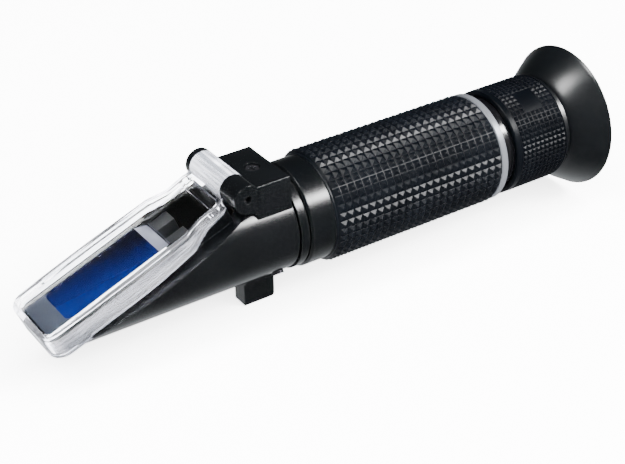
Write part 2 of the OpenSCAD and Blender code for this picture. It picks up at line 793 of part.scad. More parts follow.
module lock_ring() color([0.08, 0.08, 0.09])
    turned([
        [lock_x, spigot_d / 2 + seat], [lock_x, lock_d / 2], [collar_x - lock_groove_w, lock_d / 2],
        [collar_x - lock_groove_w, lock_d / 2 - lock_groove_h],
        [collar_x - 0.02, lock_d / 2 - lock_groove_h], [collar_x - 0.02, spigot_d / 2 + seat]
    ]);

module main_tube() {
    chamfer = 0.5;
    thread_end = housing_len + spigot_len + 0.4;
    color([0.07, 0.07, 0.08]) turned([
        [collar_x, spigot_d / 2 + seat], [collar_x, collar_d / 2 - chamfer],
        [collar_x + chamfer, collar_d / 2], [grip_x, collar_d / 2], [grip_x, tube_d / 2],
        [neck_x, tube_d / 2], [neck_x, tube_bore / 2], [thread_end, tube_bore / 2],
        [thread_end, spigot_d / 2 + seat]
    ]);
}

module grip_sleeve() color([0.05, 0.05, 0.06]) {
    bore_r = tube_d / 2 + seat;
    ring(grip_x, grip_x + grip_lip, grip_root_d / 2 + 0.1, bore_r + 0.1);
    knurled_ring(
        grip_x + grip_lip, grip_len - grip_lip - 0.02, grip_root_d / 2, bore_r + 0.15,
        grip_tooth, grip_rows, grip_around
    );
}

module trim_ring() color([0.8, 0.81, 0.82]) {
    chamfer = 0.25;
    turned([
        [trim_x, tube_d / 2 + seat], [trim_x, trim_d / 2 - chamfer], [trim_x + chamfer, trim_d / 2],
        [neck_x - chamfer, trim_d / 2], [neck_x, trim_d / 2 - chamfer], [neck_x, tube_d / 2 + seat]
    ]);
}

module tube_baffles() color([0.06, 0.06, 0.06])
    for (x = [baffle_x, baffle_x + baffle_pitch])
        ring(x, x + baffle_t, tube_bore / 2 - seat, tube_bore / 2 - seat - baffle_h);

module reticle_cell() color([0.1, 0.1, 0.11]) turned([
    [mount_x - reticle_cell_len, reticle_d / 2 - 0.8],
    [mount_x - reticle_cell_len, tube_bore / 2 - seat],
    [mount_x - 0.05, tube_bore / 2 - seat], [mount_x - 0.05, reticle_d / 2 + seat],
    [mount_x - 4.1, reticle_d / 2 + seat], [mount_x - 4.1, reticle_d / 2 - 0.8]
]);

module reticle() color([0.85, 0.9, 0.92, 0.6])
    axial_hole(mount_x - 4.08, mount_x - 2.58, reticle_d / 2);

module reticle_retainer() color([0.12, 0.12, 0.13])
    ring(mount_x - 2.55, mount_x - 1, reticle_d / 2, reticle_d / 2 - 1.2);

// Eyepiece and its helical focus
module stop_hole(r, low, high)
    axis_frame() translate([stop_x, 0, -high]) cylinder(h = high - low, r = r, $fn = 32);

module eyepiece_mount() color([0.05, 0.05, 0.06]) difference() {
    turned([
        [mount_x, mount_bore / 2], [mount_x, tube_bore / 2 - seat], [neck_x + 0.02, tube_bore / 2 - seat],
        [neck_x + 0.02, neck_d / 2], [neck_x + neck_len, neck_d / 2], [neck_x + neck_len, mount_bore / 2]
    ]);
    stop_hole(0.8 + 0.02, 0, 30);
}

module focus_stop_screw() color([0.5, 0.5, 0.52])
    stop_hole(0.8, mount_bore / 2 - 0.5, neck_d / 2 - 0.2);

module focus_o_ring() color([0.03, 0.03, 0.03])
    torus(focus_groove_x + 0.55, mount_bore / 2 - 0.45, 0.41);

module eyepiece_barrel() {
    run_r = mount_bore / 2 - running;
    relief = 2 * focus_travel + 2.2;
    lens_r = eye_lens_d / 2 + seat;
    color([0.07, 0.07, 0.08]) turned([
        [barrel_x, lens_r - 1.2], [barrel_x, run_r],
        [focus_groove_x, run_r], [focus_groove_x, mount_bore / 2 - 0.9],
        [focus_groove_x + 1.1, mount_bore / 2 - 0.9], [focus_groove_x + 1.1, run_r],
        [stop_x - relief / 2, run_r], [stop_x - relief / 2, mount_bore / 2 - 0.7],
        [stop_x + relief / 2, mount_bore / 2 - 0.7], [stop_x + relief / 2, run_r],
        [barrel_step, run_r], [barrel_step, barrel_rear_d / 2],
        [barrel_end, barrel_rear_d / 2], [barrel_end, lens_r],
        [field_x - 0.02, lens_r], [field_x - 0.02, lens_r - 1.2]
    ]);
}

module field_lens() color([0.8, 0.9, 0.92, 0.5]) turned(concat(
    lens_face(field_x + field_t, -16, eye_lens_d / 2),
    [[field_x, eye_lens_d / 2], [field_x, 0]]
));

module lens_spacer() color([0.1, 0.1, 0.11])
    ring(spacer_x, spacer_x + spacer_len, eye_lens_d / 2, eye_lens_d / 2 - 0.9);

module eye_lens() color([0.8, 0.9, 0.92, 0.5]) turned(concat(
    lens_face(eye_x, 15, eye_lens_d / 2),
    [[eye_x + eye_t, eye_lens_d / 2], [eye_x + eye_t, 0]]
));

module eye_lens_retainer() color([0.12, 0.12, 0.13])
    ring(retainer_x, retainer_x + retainer_t, eye_lens_d / 2, eye_lens_d / 2 - 1.8);

module focus_ring() color([0.05, 0.05, 0.06]) {
    bore_r = barrel_rear_d / 2 + seat;
    root_r = focus_root_d / 2;
    counter_r = neck_d / 2 + 0.35;
    knurl_x = focus_x + focus_rim;
    knurl_len = focus_len - focus_rim - focus_rear_rim;
    core_r = root_r - 0.3;
    turned([
        [focus_x, counter_r], [focus_x, root_r + 0.1], [focus_x + 0.3, root_r + 0.4],
        [knurl_x, root_r + 0.4], [knurl_x, core_r], [knurl_x + knurl_len, core_r],
        [knurl_x + knurl_len, root_r + 0.3], [eyecup_x - 0.02, root_r + 0.3],
        [eyecup_x - 0.02, bore_r], [barrel_step + 0.02, bore_r], [barrel_step + 0.02, counter_r]
    ]);
    knurled_ring(
        knurl_x, knurl_len, root_r, core_r - 0.1, focus_tooth, focus_rows, focus_around,
        pad_rows, pad_around, pad_angle
    );
}

module eyecup() {
    neck_end = eyecup_x + 1.8;
    neck_r = eyecup_neck_d / 2;
    rim_r = eyecup_d / 2;
    flare = rim_r - neck_r;
    run = total_len - neck_end;
    bulge = [
        for (i = [0:8]) let (t = i / 8)
            [neck_end + t * run, neck_r - 0.2 + (flare + 0.2) * pow(t, 0.72)]
    ];
    inside = [
        for (i = [8:-1:0]) let (t = i / 8)
            [neck_end + 1 + t * (run - 1), neck_r - eyecup_wall + (flare - 0.3) * pow(t, 0.78)]
    ];
    color([0.05, 0.05, 0.06]) turned(concat(
        [[eyecup_x, cup_bore_d / 2], [eyecup_x, neck_r], [neck_end, neck_r]],
        bulge, inside,
        [
            [neck_end + 1, eye_lens_d / 2 + 0.6], [barrel_end + 0.05, eye_lens_d / 2 + 0.6],
            [barrel_end + 0.05, cup_bore_d / 2]
        ]
    ));
}

prism_housing();
prism();
prism_backing();
prism_seal();
prism_lugs();
hinge_pin();
daylight_plate();
calibration_screw();
screw_pad();
objective_cell();
flint_lens();
crown_lens();
objective_retainer();
bimetal_strip();
strip_clamp();
strip_clamp_screw();
aperture_stop();
lock_screws();
body_o_ring();
lock_ring();
main_tube();
grip_sleeve();
trim_ring();
tube_baffles();
reticle_cell();
reticle();
reticle_retainer();
eyepiece_mount();
focus_stop_screw();
focus_o_ring();
eyepiece_barrel();
field_lens();
lens_spacer();
eye_lens();
eye_lens_retainer();
focus_ring();
eyecup();
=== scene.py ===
"""Looks of a handheld refractometer with a hinged daylight plate.

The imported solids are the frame. Each sub-assembly is a class that dresses its solids and makes the
pieces whose detail the solids leave out. Lengths are in metres unless a name says otherwise.
"""

import logging
import math
from dataclasses import dataclass, field
from enum import Enum
from functools import cache
from typing import Callable, Sequence

import bmesh
import bpy
from mathutils import Matrix, Vector


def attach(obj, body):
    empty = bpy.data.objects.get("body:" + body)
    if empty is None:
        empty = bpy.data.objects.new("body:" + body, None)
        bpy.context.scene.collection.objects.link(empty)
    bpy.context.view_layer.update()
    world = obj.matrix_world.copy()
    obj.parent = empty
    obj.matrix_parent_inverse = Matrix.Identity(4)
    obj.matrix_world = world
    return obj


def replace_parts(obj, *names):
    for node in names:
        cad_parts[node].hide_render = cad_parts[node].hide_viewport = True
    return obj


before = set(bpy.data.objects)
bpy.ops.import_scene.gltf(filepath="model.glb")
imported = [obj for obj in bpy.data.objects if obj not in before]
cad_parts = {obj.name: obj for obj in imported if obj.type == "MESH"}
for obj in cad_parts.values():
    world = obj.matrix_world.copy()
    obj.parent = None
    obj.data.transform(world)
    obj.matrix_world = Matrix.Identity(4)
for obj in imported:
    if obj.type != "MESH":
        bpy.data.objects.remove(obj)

LOG = logging.getLogger("refractometer")
MM = 0.001
HALF_LENGTH = 80.4 * MM
AXIS_HEIGHT = 20.6 * MM
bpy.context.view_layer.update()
WEAR_RADIUS = 0.00018
WEAR_START = 0.985
WEAR_GAIN = 6.0

Colour = tuple[float, float, float]
Place = tuple[float, float, float]
Profile = Sequence[tuple[float, float]]
Socket = bpy.types.NodeSocket


def station(x_mm: float) -> float:
    """Turn a station along the optical axis, in mm, into an X place in metres."""
    return x_mm * MM - HALF_LENGTH


class Grain(Enum):
    """How a finish breaks up the light at close range."""

    CAST = "cast"
    MOULDED = "moulded"
    TURNED = "turned"
    PLAIN = "plain"


class Wiring:
    """Short-hand for building a node tree."""

    def __init__(self, tree: bpy.types.NodeTree) -> None:
        """Keep the tree that nodes go into."""
        self.tree = tree

    def add(self, kind: str, inputs: dict | None = None, **settings: object) -> bpy.types.Node:
        """Add a node, set its properties and fill or link its inputs.

        Args:
            kind: the node's type name in Blender.
            inputs: values or output sockets, by the input's name or number.
            **settings: properties of the node.

        Returns:
            The new node.
        """
        node = self.tree.nodes.new(kind)
        for name, value in settings.items():
            setattr(node, name, value)
        for key, value in (inputs or {}).items():
            if isinstance(value, bpy.types.NodeSocket):
                self.tree.links.new(value, node.inputs[key])
            else:
                node.inputs[key].default_value = value
        return node

    def math(self, operation: str, a: object, b: object = 0.0, c: object = 0.0) -> Socket:
        """Add a math node and return its result."""
        node = self.add("ShaderNodeMath", {0: a, 1: b, 2: c}, operation=operation)
        return node.outputs[0]

    def xyz(self, x: object = 0.0, y: object = 0.0, z: object = 0.0) -> Socket:
        """Join three values into a vector and return it."""
        return self.add("ShaderNodeCombineXYZ", {"X": x, "Y": y, "Z": z}).outputs[0]

    def object_place(self) -> Socket:
        """Return the object coordinates."""
        return self.add("ShaderNodeTexCoord").outputs["Object"]

    def noise(self, where: object, size: float, detail: float = 2.0) -> Socket:
        """Add a noise whose lumps are about this size, in metres, and return its value."""
        node = self.add(
            "ShaderNodeTexNoise", {"Vector": where, "Scale": 1.0 / size, "Detail": detail}
        )
        return node.outputs["Fac"]

    def ramp(self, value: object, stops: Sequence[tuple[float, Colour]]) -> Socket:
        """Turn a value into a colour through a ramp, and return the colour."""
        node = self.add("ShaderNodeValToRGB", {"Fac": value})
        points = node.color_ramp.elements
        while len(points) < len(stops):
            points.new(0.5)
        for point, (place, colour) in zip(points, stops):
            point.position = place
            point.color = (*colour, 1.0)
        return node.outputs["Color"]

    def remap(self, value: object, low: float, high: float) -> Socket:
        """Spread a value between 0 and 1 over another span, and return it."""
        node = self.add("ShaderNodeMapRange", {"Value": value, "To Min": low, "To Max": high})
        return node.outputs["Result"]

    def clamp(self, value: object, high: float = 1.0) -> Socket:
        """Keep a value between 0 and a limit, and return it."""
        return self.math("MINIMUM", self.math("MAXIMUM", value), high)

    def blend(self, share: object, first: object, second: object) -> Socket:
        """Mix two values by a share, and return the result."""
        return self.add("ShaderNodeMix", {"Factor": share, 2: first, 3: second}).outputs[0]

    def tinge(self, share: object, first: object, second: object) -> Socket:
        """Mix two colours by a share, and return the result."""
        mixed = self.add(
            "ShaderNodeMix", {"Factor": share, 6: first, 7: second}, data_type="RGBA"
        )
        return mixed.outputs[2]

    def surface(self, inputs: dict) -> None:
        """Add a principled shader and join it to the material's output."""
        shader = self.add("ShaderNodeBsdfPrincipled", inputs)
        self.add("ShaderNodeOutputMaterial", {"Surface": shader.outputs[0]})


def blank_material(name: str) -> tuple[bpy.types.Material, Wiring]:
    """Make a material with an empty node tree.

    Args:
        name: the material's name.

    Returns:
        The material and the builder of its tree.
    """
    made = bpy.data.materials.new(name)
    made.use_nodes = True
    made.node_tree.nodes.clear()
    return made, Wiring(made.node_tree)


@dataclass(frozen=True)
class Finish:
    """A surface finish that is the same all over a piece.

    Attributes:
        name: the material's name.
        colour: base colour, linear.
        roughness: mean roughness.
        metallic: 1 for bare metal.
        specular: specular level.
        coat: weight of a clear coat.
        grain: how the surface breaks up at close range.
        grain_size: size of the grain, in metres.
        grain_depth: height of the grain, in metres.
        tone: how far the colour wanders.
        spread: how far the roughness wanders.
        rounding: radius that softens the edges in the shading, in metres.
        wear: how much lighter the rubbed edges are, linear.
    """

    name: str
    colour: Colour
    roughness: float
    metallic: float = 0.0
    specular: float = 0.5
    coat: float = 0.0
    grain: Grain = Grain.CAST
    grain_size: float = 0.0003
    grain_depth: float = 0.000004
    tone: float = 0.2
    spread: float = 0.05
    rounding: float = 0.0
    wear: float = 0.0

    @cache
    def material(self) -> bpy.types.Material:
        """Build the finish's material.

        Returns:
            The material, with its grain in object space.
        """
        made, wiring = blank_material(self.name)
        where = wiring.object_place()
        patches = wiring.noise(where, 0.012, 3.0)
        dark = tuple(c * (1.0 - self.tone) for c in self.colour)
        light = tuple(min(c * (1.0 + self.tone), 1.0) for c in self.colour)
        colour = wiring.ramp(patches, [(0.3, dark), (0.7, light)])
        if self.wear:
            colour = self.rubbed(wiring, colour, patches)
        inputs: dict = {
            "Base Color": colour,
            "Metallic": self.metallic,
            "Specular IOR Level": self.specular,
            "Coat Weight": self.coat,
            "Coat Roughness": 0.08,
        }
        rough = wiring.noise(where, 0.005, 4.0)
        inputs["Roughness"] = wiring.remap(
            rough, max(self.roughness - self.spread, 0.02), self.roughness + self.spread
        )
        if self.grain is not Grain.PLAIN or self.rounding:
            inputs["Normal"] = self.normal(wiring, where)
        wiring.surface(inputs)
        return made

    def rubbed(self, wiring: Wiring, colour: Socket, patches: Socket) -> Socket:
        """Lighten the edges where hands and cloths have rubbed them.

        Args:
            wiring: the tree's builder.
            colour: the paint's colour.
            patches: a slow noise that breaks the wear up.

        Returns:
            The colour with its rubbed edges.
        """
        soft = wiring.add("ShaderNodeBevel", {"Radius": WEAR_RADIUS}, samples=4).outputs[0]
        plain = wiring.add("ShaderNodeNewGeometry").outputs["Normal"]
        turn = wiring.add("ShaderNodeVectorMath", {0: soft, 1: plain}, operation="DOT_PRODUCT")
        edge = wiring.math("SUBTRACT", WEAR_START, turn.outputs["Value"])
        edge = wiring.clamp(wiring.math("MULTIPLY", edge, WEAR_GAIN))
        bare = tuple(c + self.wear for c in self.colour)
        return wiring.tinge(wiring.math("MULTIPLY", edge, patches), colour, (*bare, 1.0))

    def normal(self, wiring: Wiring, where: Socket) -> Socket:
        """Build the grain's bump on softened edges.

        Args:
            wiring: the tree's builder.
            where: object coordinates.

        Returns:
            The normal for the shader.
        """
        height = wiring.noise(where, self.grain_size, 3.0)
        if self.grain is Grain.TURNED:
            along = wiring.add("ShaderNodeSeparateXYZ", {0: where}).outputs["X"]
            height = wiring.noise(wiring.xyz(along), self.grain_size, 4.0)
        elif self.grain is Grain.MOULDED:
            cells = wiring.add(
                "ShaderNodeTexVoronoi", {"Vector": where, "Scale": 1.0 / self.grain_size}
            )
            height = wiring.math("MULTIPLY_ADD", cells.outputs["Distance"], 0.5, height)
        bump: dict = {"Height": height, "Distance": self.grain_depth, "Strength": 1.0}
        if self.rounding:
            bevel = wiring.add("ShaderNodeBevel", {"Radius": self.rounding}, samples=6)
            bump["Normal"] = bevel.outputs[0]
        if self.grain is Grain.PLAIN:
            return bump["Normal"]
        return wiring.add("ShaderNodeBump", bump).outputs[0]


CASTING = Finish(
    "black_satin_paint", (0.0009, 0.0011, 0.0013), 0.2, specular=0.42, grain_size=0.00035,
    grain_depth=0.0000008, spread=0.04, rounding=0.00025, wear=0.008,
)
TUBE_PAINT = Finish(
    "black_satin_tube", (0.0006, 0.0008, 0.001), 0.24, specular=0.42, grain_size=0.00035,
    grain_depth=0.0000006, spread=0.04, rounding=0.0002, wear=0.02,
)
GRIP_RUBBER = Finish(
    "black_grip_rubber", (0.0007, 0.001, 0.0015), 0.36, specular=0.17, grain=Grain.MOULDED,
    grain_size=0.00025, grain_depth=0.000003, tone=0.35, spread=0.08, rounding=0.00005,
)
FOCUS_RUBBER = Finish(
    "black_focus_rubber", (0.0005, 0.0007, 0.0011), 0.36, specular=0.08, grain=Grain.MOULDED,
    grain_size=0.0002, grain_depth=0.0000025, tone=0.3, spread=0.08, rounding=0.00004,
)
EYECUP_RUBBER = Finish(
    "black_eyecup_rubber", (0.0005, 0.0007, 0.001), 0.3, specular=0.75, grain=Grain.MOULDED,
    grain_size=0.0002, grain_depth=0.0000008, tone=0.2, spread=0.05,
)
GLOSS_BLACK = Finish("black_gloss_neck", (0.0012, 0.0012, 0.0015), 0.2, coat=0.2, grain=Grain.PLAIN)
SEAL_RUBBER = Finish("black_seal_rubber", (0.002, 0.002, 0.002), 0.6, grain=Grain.MOULDED)
INNER_BLACK = Finish("matt_inner_black", (0.004, 0.004, 0.004), 0.75)
BRIGHT_RING = Finish(
    "bright_turned_ring", (0.085, 0.09, 0.1), 0.34, metallic=0.6, grain=Grain.TURNED,
    grain_size=0.00012, grain_depth=0.0000012, tone=0.04,
)
PIN_STEEL = Finish(
    "dark_pin_steel", (0.12, 0.12, 0.13), 0.2, metallic=1.0, grain=Grain.TURNED, tone=0.06,
)
STEEL = Finish(
    "bright_steel", (0.55, 0.55, 0.57), 0.28, metallic=1.0, grain=Grain.TURNED, tone=0.06,
)
BLACK_STEEL = Finish(
    "blackened_screw", (0.035, 0.035, 0.04), 0.2, metallic=0.9, grain_depth=0.000002,
    rounding=0.0001,
)
TWO_METAL = Finish("two_metal_strip", (0.4, 0.3, 0.13), 0.35, metallic=1.0, tone=0.1)
IVORY = Finish("ivory_nylon", (0.4, 0.38, 0.3), 0.5)
LUG_PAINT = Finish("grey_lug_paint", (0.008, 0.0085, 0.0095), 0.35, tone=0.25, rounding=0.0002)
COMPOUND = Finish("grey_sealing_compound", (0.018, 0.0235, 0.036), 0.45, tone=0.15)


@dataclass(frozen=True)
class ClearFinish:
    """A clear solid, such as a lens.

    Attributes:
        name: the material's name.
        tint: colour of the solid, linear.
        index: index of refraction.
        roughness: roughness of the surface.
    """

    name: str
    tint: Colour
    index: float
    roughness: float = 0.02

    @cache
    def material(self) -> bpy.types.Material:
        """Build the clear material.

        Returns:
            The material, with a faint haze in its gloss.
        """
        made, wiring = blank_material(self.name)
        haze = wiring.noise(wiring.object_place(), 0.006, 3.0)
        wiring.surface({
            "Base Color": (*self.tint, 1.0),
            "IOR": self.index,
            "Transmission Weight": 1.0,
            "Roughness": wiring.remap(haze, self.roughness * 0.5, self.roughness * 1.5),
        })
        return made


LENS_GLASS = ClearFinish("glass_of_lenses", (0.95, 0.98, 0.98), 1.55, 0.01)


@dataclass(frozen=True)
class Slope:
    """The frame of the sloping face: s up the slope, y across it, h off the prism face.

    Attributes:
        degrees: angle of the prism face to the optical axis.
        drop: depth of the face below the axis at the front of the plate, in metres.
        setback: place of the slope's origin along the optical axis, in metres.
    """

    degrees: float = 21.5
    drop: float = 6.86 * MM
    setback: float = 1.246 * MM

    def up(self) -> Vector:
        """Return the direction up the slope."""
        angle = math.radians(self.degrees)
        return Vector((math.cos(angle), 0.0, math.sin(angle)))

    def off(self) -> Vector:
        """Return the direction off the prism face."""
        angle = math.radians(self.degrees)
        return Vector((-math.sin(angle), 0.0, math.cos(angle)))

    def origin(self) -> Vector:
        """Return the point where s and h are zero."""
        return Vector((self.setback - HALF_LENGTH, 0.0, AXIS_HEIGHT - self.drop))

    def point(self, up: float, off: float, side: float = 0.0) -> Vector:
        """Return the point at these distances, in mm."""
        reach = up * self.up() + off * self.off() + Vector((0.0, side, 0.0))
        return self.origin() + reach * MM

    def measure(self, place: Vector) -> tuple[float, float]:
        """Return a point's distance up the slope and height off the face, in mm."""
        reach = place - self.origin()
        return reach.dot(self.up()) / MM, reach.dot(self.off()) / MM

    def split(self, wiring: Wiring, where: Socket) -> bpy.types.NodeOutputs:
        """Turn object coordinates into s, y and h.

        Args:
            wiring: the tree's builder.
            where: object coordinates.

        Returns:
            The three sockets, named X, Y and Z.
        """
        turn = (0.0, -math.radians(self.degrees), 0.0)
        local = wiring.add(
            "ShaderNodeMapping",
            {"Vector": where, "Location": self.origin(), "Rotation": turn},
            vector_type="TEXTURE",
        ).outputs[0]
        return wiring.add("ShaderNodeSeparateXYZ", {0: local}).outputs


@dataclass(frozen=True)
class AcrylicFinish:
    """Moulded acrylic: a clear window, walls that gather the light, and a silvery barrel.

    Attributes:
        name: the material's name.
        index: index of refraction.
        glass: colour of the window, linear.
        tint: colour of the walls, linear.
        streak: colour of the darker lengthwise stripes painted on the barrel as reflections, linear.
        shadow: colour of the darker stripes painted along the walls as shade, linear.
        window: half width of the clear window, in metres.
        narrow_rate: how fast the window draws in on each side, per metre up the slope.
        narrow_start: how far that line lies below zero at the foot of the slope, in metres.
        narrow_most: how far the window draws in at most, in metres.
        front: where the window starts up the slope, in metres.
        rear: where the window ends up the slope, in metres.
        underside: height off the prism face under which nothing is window, in metres.
        barrel: where the barrel starts up the slope, in metres.
        wall_clear: how clear the walls are.
        wall_spread: how far that varies along them.
        barrel_clear: how clear the barrel is.
        barrel_spread: how far that varies across it.
        ripple_size: length of the moulding's ripples, in metres.
        ripple_depth: depth of the ripples, in metres.
    """

    name: str = "acrylic_of_plate"
    index: float = 1.49
    glass: Colour = (0.985, 0.99, 0.995)
    tint: Colour = (0.8, 0.81, 0.88)
    streak: Colour = (0.3, 0.32, 0.36)
    shadow: Colour = (0.38, 0.4, 0.45)
    window: float = 8.9 * MM
    narrow_rate: float = 0.3
    narrow_start: float = 12.2 * MM
    narrow_most: float = 1.5 * MM
    front: float = 1.3 * MM
    rear: float = 52.2 * MM
    underside: float = -0.1 * MM
    barrel: float = 53.0 * MM
    wall_clear: float = 0.95
    wall_spread: float = 0.2
    barrel_clear: float = 0.66
    barrel_spread: float = 0.6
    ripple_size: float = 4.0 * MM
    ripple_depth: float = 0.006 * MM

    @cache
    def material(self) -> bpy.types.Material:
        """Build the acrylic's material from its own place on the slope.

        Returns:
            The material.
        """
        made, w = blank_material(self.name)
        where = w.object_place()
        place = Slope().split(w, where)
        along = w.xyz(w.math("MULTIPLY", place["X"], 0.06), place["Y"], place["Z"])
        across = w.xyz(place["X"], w.math("MULTIPLY", place["Y"], 0.05), place["Z"])
        inner = self.in_window(w, place)
        on_barrel = w.math("GREATER_THAN", place["X"], self.barrel)
        wall = self.varied(w, w.noise(along, 1.1 * MM), self.wall_clear, self.wall_spread)
        # Painted reflections: the barrel's clearness varies in lengthwise stripes, for a silvery
        # look.
        tube = self.varied(w, w.noise(across, 1.2 * MM), self.barrel_clear, self.barrel_spread)
        # Painted shade: darker lengthwise stripes along the walls.
        wall_shade_streaks = w.ramp(w.noise(along, 0.9 * MM, 1.0), [(0.38, self.shadow), (0.5, self.tint)])
        # Painted reflections: darker lengthwise stripes in the barrel's colour.
        painted_reflection_streaks = w.ramp(w.noise(across, 0.9 * MM), [(0.35, self.streak), (0.65, self.tint)])
        ripple = w.noise(where, self.ripple_size, 1.0)
        w.surface({
            "Base Color": w.tinge(inner, w.tinge(on_barrel, wall_shade_streaks, painted_reflection_streaks), (*self.glass, 1.0)),
            "IOR": self.index,
            "Transmission Weight": w.blend(inner, w.blend(on_barrel, wall, tube), 1.0),
            "Roughness": 0.0,
            "Normal": w.add(
                "ShaderNodeBump", {"Height": ripple, "Distance": self.ripple_depth}
            ).outputs[0],
        })
        return made

    def in_window(self, w: Wiring, place: bpy.types.NodeOutputs) -> Socket:
        """Return 1 inside the clear window and 0 in the walls.

        Args:
            w: the tree's builder.
            place: the slope's s, y and h.

        Returns:
            The mask.
        """
        up, side = place["X"], w.math("ABSOLUTE", place["Y"])
        pull = w.math("MULTIPLY_ADD", up, self.narrow_rate, -self.narrow_start)
        side = w.math("ADD", side, w.clamp(pull, self.narrow_most))
        inner = w.math("LESS_THAN", side, self.window)
        inner = w.math("MULTIPLY", inner, w.math("GREATER_THAN", up, self.front))
        inner = w.math("MULTIPLY", inner, w.math("LESS_THAN", up, self.rear))
        return w.math("MULTIPLY", inner, w.math("GREATER_THAN", place["Z"], self.underside))

    @staticmethod
    def varied(w: Wiring, noise: Socket, mean: float, spread: float) -> Socket:
        """Spread a noise evenly about a mean, and return it."""
        return w.math("MULTIPLY_ADD", noise, spread, mean - spread / 2)


@dataclass(frozen=True)
class PrismFinish:
    """The blue prism face and the clear bevel behind it.

    Attributes:
        name: the material's name.
        face_end: distance up the slope where the blue face ends, in metres.
        deep: colour of the painted shade at the far rear, linear.
        middle: colour of most of the face, linear.
        bright: colour of the painted light at the near front corner, linear.
        bevel: colour of the clear bevel, linear.
        run: length over which the painted shade deepens up the slope, in metres.
        breadth: width over which it deepens across the slope, in metres.
        level: how much painted light there is where the slope starts.
        wander: how far the change of colour wanders.
    """

    name: str = "blue_prism"
    face_end: float = 33.77 * MM
    deep: Colour = (0.0006, 0.0008, 0.007)
    middle: Colour = (0.0009, 0.003, 0.035)
    bright: Colour = (0.0012, 0.0085, 0.075)
    bevel: Colour = (0.13, 0.135, 0.17)
    run: float = 60 * MM
    breadth: float = 17 * MM
    level: float = 0.83
    wander: float = 0.1

    @cache
    def material(self) -> bpy.types.Material:
        """Build the prism's material from its own place on the slope.

        Returns:
            The material.
        """
        made, w = blank_material(self.name)
        where = w.object_place()
        place = Slope().split(w, where)
        lumps = w.noise(where, 0.02, 1.0)
        # Painted light and shade: the blue is lightest at the near front corner and darkens up the
        # slope and towards the far side.
        share = w.math("MULTIPLY_ADD", place["X"], -1.0 / self.run, self.level)
        share = w.math("MULTIPLY_ADD", place["Y"], -1.0 / self.breadth, share)
        share = w.math("MULTIPLY_ADD", lumps, self.wander, share)
        blue = w.ramp(share, [(0.22, self.deep), (0.5, self.middle), (0.95, self.bright)])
        past = w.math("GREATER_THAN", place["X"], self.face_end)
        w.surface({
            "Base Color": w.tinge(past, blue, (*self.bevel, 1.0)),
            "Roughness": w.remap(lumps, 0.03, 0.08),
            "IOR": 1.5,
        })
        return made


AnyFinish = Finish | ClearFinish | AcrylicFinish | PrismFinish


def dress(node: str, finish: AnyFinish) -> None:
    """Give a solid of the frame a finish.

    Args:
        node: name of the solid.
        finish: the finish to give it.
    """
    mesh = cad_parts[node].data
    mesh.materials.clear()
    mesh.materials.append(finish.material())
    LOG.info("dressed %s with %s", node, finish.name)


def dress_all(finish: AnyFinish, *nodes: str) -> None:
    """Give several solids of the frame the same finish."""
    for node in nodes:
        dress(node, finish)


def new_piece(name: str, mesh: bpy.types.Mesh, finish: AnyFinish) -> bpy.types.Object:
    """Put a mesh into the scene as a piece with a finish.

    Args:
        name: name of the piece.
        mesh: its mesh.
        finish: its finish.

    Returns:
        The piece.
    """
    piece = bpy.data.objects.new(name, mesh)
    bpy.context.scene.collection.objects.link(piece)
    mesh.materials.clear()
    mesh.materials.append(finish.material())
    LOG.info("made %s, %d faces", name, len(mesh.polygons))
    return piece


def turned_mesh(
    name: str, profile: Profile, steps: int = 128, sharp_deg: float = 30.0
) -> bpy.types.Mesh:
    """Turn a closed profile of (station, radius), in mm, round the optical axis.

    Args:
        name: name of the mesh.
        profile: corners of the profile, in order.
        steps: number of steps round the axis.
        sharp_deg: edges that turn by more than this stay sharp.

    Returns:
        The closed mesh.
    """
    mesh = bpy.data.meshes.new(name)
    work = bmesh.new()
    rings = [
        [
            work.verts.new((
                station(x),
                r * MM * math.cos(math.tau * i / steps),
                AXIS_HEIGHT + r * MM * math.sin(math.tau * i / steps),
            ))
            for i in range(steps)
        ]
        for x, r in profile
    ]
    for ring, after in zip(rings, rings[1:] + rings[:1]):
        for i in range(steps):
            j = (i + 1) % steps
            work.faces.new((ring[i], ring[j], after[j], after[i]))
    shade_and_close(work, mesh, sharp_deg)
    return mesh


def shade_and_close(work: bmesh.types.BMesh, mesh: bpy.types.Mesh, sharp_deg: float) -> None:
    """Turn the faces outwards, keep sharp edges sharp, and write the mesh.

    Args:
        work: the mesh under way, which is freed.
        mesh: the mesh to write.
        sharp_deg: edges that turn by more than this stay sharp.
    """
    bmesh.ops.recalc_face_normals(work, faces=work.faces)
    for face in work.faces:
        face.smooth = True
    for edge in work.edges:
        if edge.calc_face_angle(0.0) > math.radians(sharp_deg):
            edge.smooth = False
    work.to_mesh(mesh)
    work.free()


